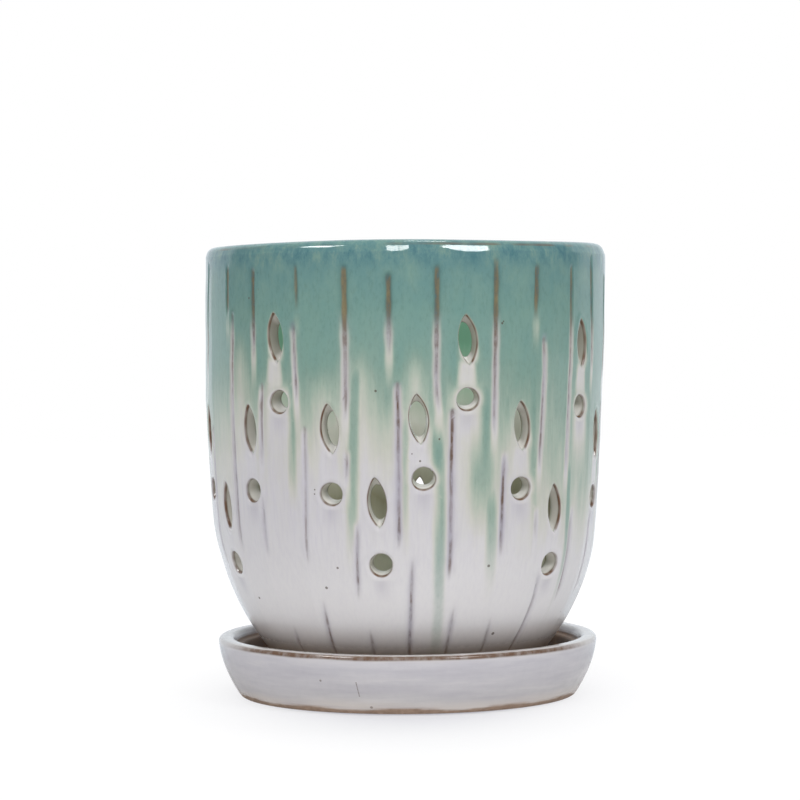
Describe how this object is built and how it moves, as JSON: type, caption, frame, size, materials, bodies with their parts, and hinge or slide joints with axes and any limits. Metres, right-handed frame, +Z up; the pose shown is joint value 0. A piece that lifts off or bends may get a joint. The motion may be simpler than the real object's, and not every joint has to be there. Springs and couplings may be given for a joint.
{
  "type": "orchid pot",
  "caption": "Round glazed ceramic orchid pot with pointed slots and round air holes through its carved wall, standing loose in a shallow flared saucer.",
  "frame": {"origin": "on the ground, under the middle of the saucer", "axes": "+Z up along the pot's axis; the side in the picture faces -Y, with +X to its right"},
  "size_m": [0.165, 0.165, 0.1845],
  "materials": {
    "pot_glaze": "gloss",
    "saucer_glaze": "gloss"
  },
  "bodies": {
    "saucer": {"saucer": "saucer_glaze"},
    "pot": {"pot": "pot_glaze"}
  },
  "joints": [
    {"name": "pot_lift", "type": "slide", "parent": "saucer", "child": "pot", "axis": [0, 0, 1], "range_m": [0, 0.2]}
  ]
}
